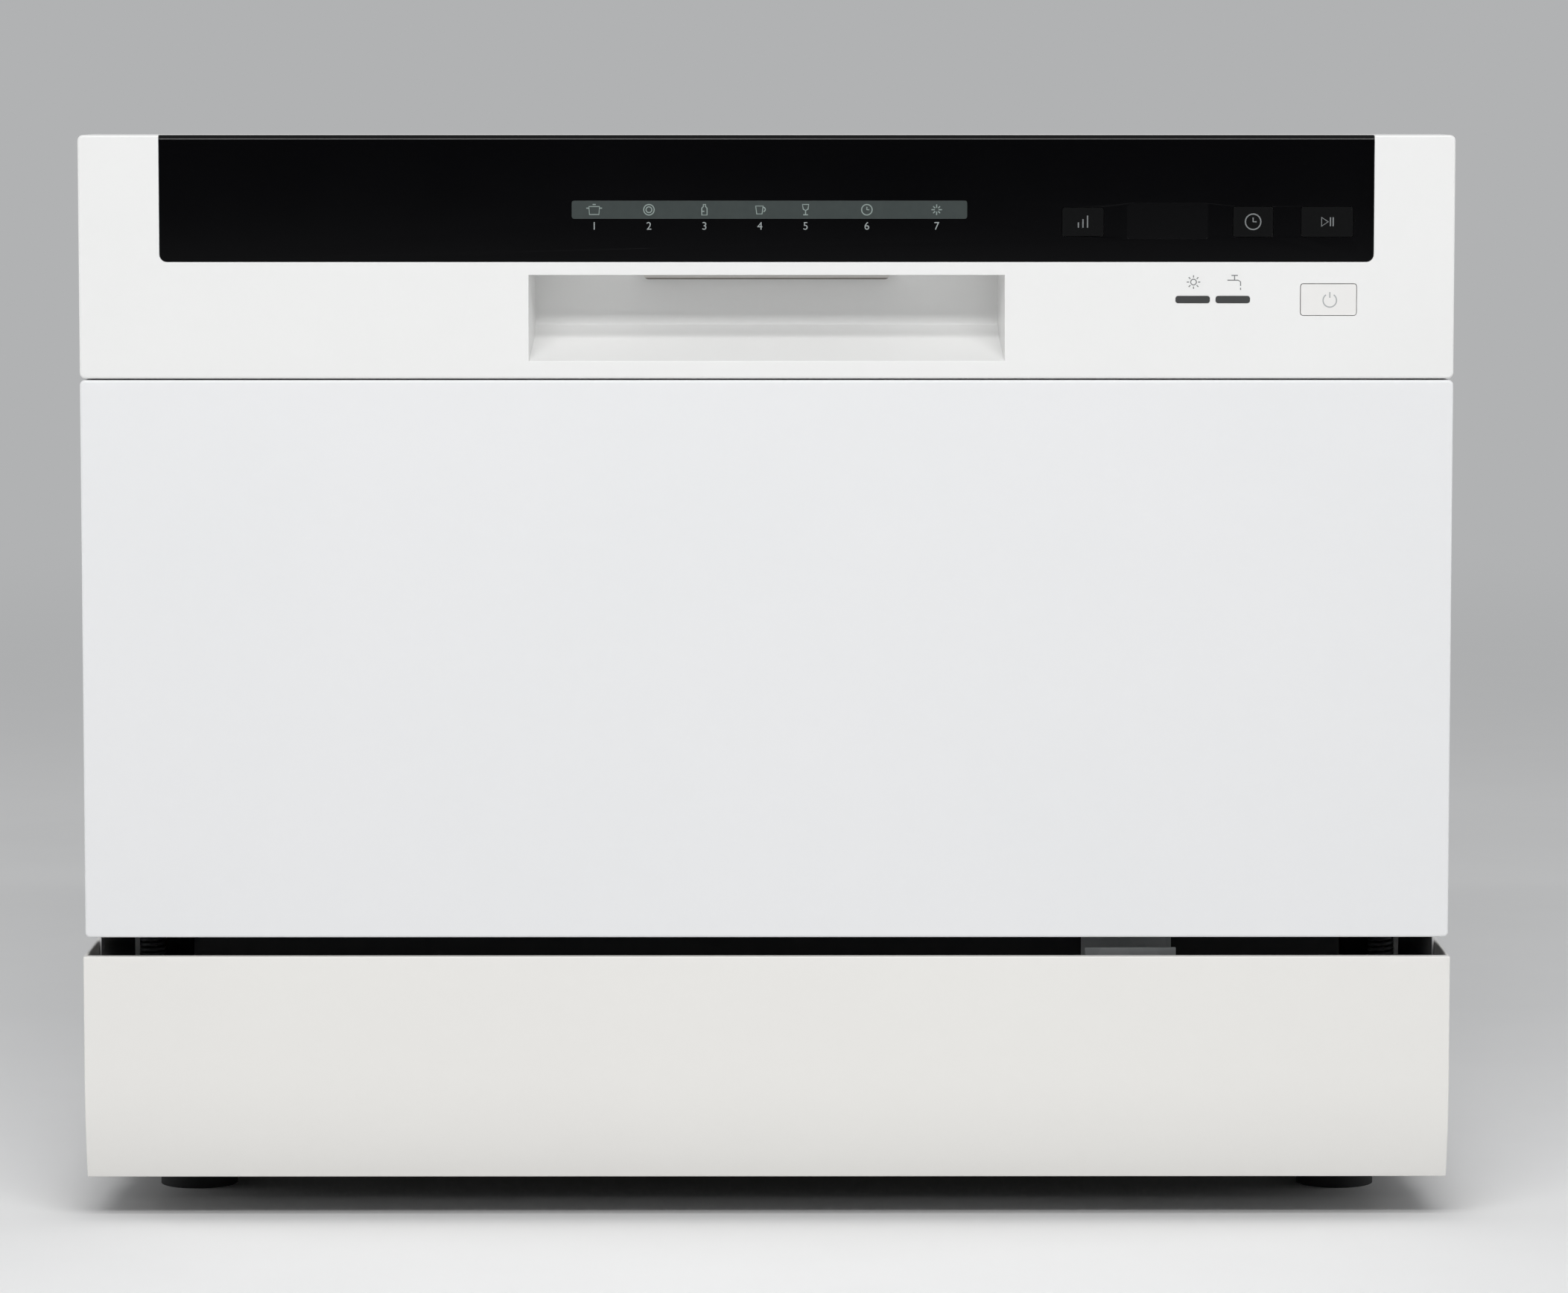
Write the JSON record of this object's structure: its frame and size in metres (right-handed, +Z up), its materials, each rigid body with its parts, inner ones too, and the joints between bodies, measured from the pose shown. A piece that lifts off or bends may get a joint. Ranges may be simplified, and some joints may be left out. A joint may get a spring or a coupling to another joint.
{
  "type": "countertop dishwasher",
  "caption": "White countertop dishwasher with a drop-down door, a black control window, a recessed handle pocket, a rack on wheels and a spray arm.",
  "frame": {"origin": "centre of the bounding box in plan, on the surface the feet stand on", "axes": "+X to the right seen from the front, +Y to the back, +Z up; the door faces -Y"},
  "size_m": [0.55, 0.5, 0.438],
  "materials": {
    "painted_steel": "semi-gloss white powder coat",
    "white_abs": "gloss moulded",
    "black_acrylic": "high gloss",
    "smoked_lens": "gloss",
    "stainless": "fine brushed",
    "galvanised": "spangled zinc",
    "bright_steel": "zinc plated",
    "black_rubber": "matt",
    "bitumen": "matt",
    "dark_plastic": "moulded",
    "hose_rubber": "matt",
    "grey_plastic": "moulded",
    "pale_plastic": "moulded",
    "coated_wire": "nylon coated",
    "circuit_board": "solder mask"
  },
  "bodies": {
    "cabinet": {"outer_cabinet": "painted_steel", "rear_panel": "galvanised", "base_tray": "dark_plastic", "base_front_panel": "painted_steel", "rubber_feet": "black_rubber", "tub": "stainless", "front_frame": "galvanised", "door_seal": "black_rubber", "sound_mats": "bitumen", "sump": "dark_plastic", "fine_filter_plate": "stainless", "spray_arm_post": "grey_plastic", "wash_pump_housing": "dark_plastic", "wash_motor": "galvanised", "water_heater": "stainless", "drain_pump": "dark_plastic", "inlet_valve": "pale_plastic", "drain_spigot": "dark_plastic", "air_break": "pale_plastic", "inner_hoses": "hose_rubber", "power_board": "circuit_board", "cord_gland": "dark_plastic", "hinge_brackets": "galvanised", "latch_strike": "bright_steel", "cabinet_screws": "bright_steel", "balance_springs": "bright_steel"},
    "door": {"door_outer_panel": "painted_steel", "door_liner": "stainless", "control_fascia": "white_abs", "control_window": "black_acrylic", "control_lenses": "smoked_lens", "indicator_lenses": "smoked_lens", "control_board": "circuit_board", "hinge_arms": "galvanised", "latch_housing": "dark_plastic", "dispenser_body": "pale_plastic", "door_insulation": "bitumen", "door_screws": "bright_steel"},
    "latch_lever": {"latch_lever": "pale_plastic"},
    "latch_hook": {"latch_hook": "bright_steel"},
    "program_button": {"program_button": "black_acrylic"},
    "delay_button": {"delay_button": "black_acrylic"},
    "start_button": {"start_button": "black_acrylic"},
    "power_button": {"power_button": "white_abs"},
    "dispenser_lid": {"dispenser_lid": "pale_plastic"},
    "rinse_aid_cap": {"rinse_aid_cap": "dark_plastic"},
    "rack": {"rack_wires": "coated_wire", "rack_tines": "coated_wire", "rack_clips": "grey_plastic"},
    "wheel_front_left": {"wheel_front_left": "grey_plastic"},
    "wheel_front_right": {"wheel_front_right": "grey_plastic"},
    "wheel_rear_left": {"wheel_rear_left": "grey_plastic"},
    "wheel_rear_right": {"wheel_rear_right": "grey_plastic"},
    "cup_shelf": {"cup_shelf": "coated_wire"},
    "cutlery_basket": {"cutlery_basket": "grey_plastic"},
    "spray_arm": {"spray_arm": "grey_plastic"},
    "filter_cup": {"filter_cup": "grey_plastic"},
    "wash_pump_rotor": {"wash_pump_rotor": "pale_plastic"},
    "drain_pump_rotor": {"drain_pump_rotor": "pale_plastic"},
    "float": {"float": "pale_plastic"}
  },
  "joints": [
    {"name": "door_hinge", "type": "hinge", "parent": "cabinet", "child": "door", "pos_m": [0, -0.235, 0.132], "axis": [1, 0, 0], "range_deg": [0, 90], "deforming": ["balance_springs"]},
    {"name": "rack_slide", "type": "slide", "parent": "cabinet", "child": "rack", "axis": [0, -1, 0], "range_m": [0, 0.15]},
    {"name": "wheel_front_left_spin", "type": "hinge", "parent": "rack", "child": "wheel_front_left", "pos_m": [-0.221, -0.095, 0.1725], "axis": [1, 0, 0], "range_deg": [-30, 600]},
    {"name": "wheel_front_right_spin", "type": "hinge", "parent": "rack", "child": "wheel_front_right", "pos_m": [0.221, -0.095, 0.1725], "axis": [1, 0, 0], "range_deg": [-30, 600]},
    {"name": "wheel_rear_left_spin", "type": "hinge", "parent": "rack", "child": "wheel_rear_left", "pos_m": [-0.221, 0.112, 0.1725], "axis": [1, 0, 0], "range_deg": [-30, 600]},
    {"name": "wheel_rear_right_spin", "type": "hinge", "parent": "rack", "child": "wheel_rear_right", "pos_m": [0.221, 0.112, 0.1725], "axis": [1, 0, 0], "range_deg": [-30, 600]},
    {"name": "latch_pull", "type": "hinge", "parent": "door", "child": "latch_lever", "pos_m": [0, -0.222, 0.402], "axis": [-1, 0, 0], "range_deg": [0, 12], "stiffness_Nm_per_rad": 0.15},
    {"name": "latch_hook_lift", "type": "hinge", "parent": "door", "child": "latch_hook", "pos_m": [0, -0.221, 0.4175], "axis": [1, 0, 0], "range_deg": [0, 8], "stiffness_Nm_per_rad": 0.1},
    {"name": "program_press", "type": "slide", "parent": "door", "child": "program_button", "axis": [0, 1, 0], "range_m": [0, 0.0012], "stiffness_N_per_m": 250, "springref_m": -0.001},
    {"name": "delay_press", "type": "slide", "parent": "door", "child": "delay_button", "axis": [0, 1, 0], "range_m": [0, 0.0012], "stiffness_N_per_m": 250, "springref_m": -0.001},
    {"name": "start_press", "type": "slide", "parent": "door", "child": "start_button", "axis": [0, 1, 0], "range_m": [0, 0.0012], "stiffness_N_per_m": 250, "springref_m": -0.001},
    {"name": "power_press", "type": "slide", "parent": "door", "child": "power_button", "axis": [0, 1, 0], "range_m": [0, 0.0012], "stiffness_N_per_m": 350, "springref_m": -0.001},
    {"name": "lid_slide", "type": "slide", "parent": "door", "child": "dispenser_lid", "axis": [1, 0, 0], "range_m": [0, 0.05]},
    {"name": "cap_turn", "type": "hinge", "parent": "door", "child": "rinse_aid_cap", "pos_m": [0.055, -0.21, 0.2505], "axis": [0, 1, 0], "range_deg": [0, 90]},
    {"name": "shelf_fold", "type": "hinge", "parent": "rack", "child": "cup_shelf", "pos_m": [-0.21, 0, 0.265], "axis": [0, -1, 0], "range_deg": [0, 90]},
    {"name": "basket_lift", "type": "slide", "parent": "rack", "child": "cutlery_basket", "axis": [0, 0, 1], "range_m": [0, 0.06]},
    {"name": "spray_spin", "type": "hinge", "parent": "cabinet", "child": "spray_arm", "pos_m": [0, -0.0075, 0.1442], "axis": [0, 0, 1], "continuous": true},
    {"name": "filter_twist", "type": "hinge", "parent": "cabinet", "child": "filter_cup", "pos_m": [0.088, -0.0695, 0.1322], "axis": [0, 0, 1], "range_deg": [0, 45]},
    {"name": "wash_pump_spin", "type": "hinge", "parent": "cabinet", "child": "wash_pump_rotor", "pos_m": [0, 0.0605, 0.0695], "axis": [1, 0, 0], "continuous": true},
    {"name": "drain_pump_spin", "type": "hinge", "parent": "cabinet", "child": "drain_pump_rotor", "pos_m": [0.165, -0.0595, 0.0615], "axis": [1, 0, 0], "continuous": true},
    {"name": "float_lift", "type": "slide", "parent": "cabinet", "child": "float", "axis": [0, 0, 1], "range_m": [0, 0.005]}
  ],
  "couplings": [
    {"joint": "rack_slide", "follows": "door_hinge", "m_per_rad": 0.095493},
    {"joint": "wheel_front_left_spin", "follows": "door_hinge", "ratio": 6.3662},
    {"joint": "wheel_front_right_spin", "follows": "door_hinge", "ratio": 6.3662},
    {"joint": "wheel_rear_left_spin", "follows": "door_hinge", "ratio": 6.3662},
    {"joint": "wheel_rear_right_spin", "follows": "door_hinge", "ratio": 6.3662},
    {"joint": "latch_hook_lift", "follows": "latch_pull", "ratio": 0.66667}
  ]
}
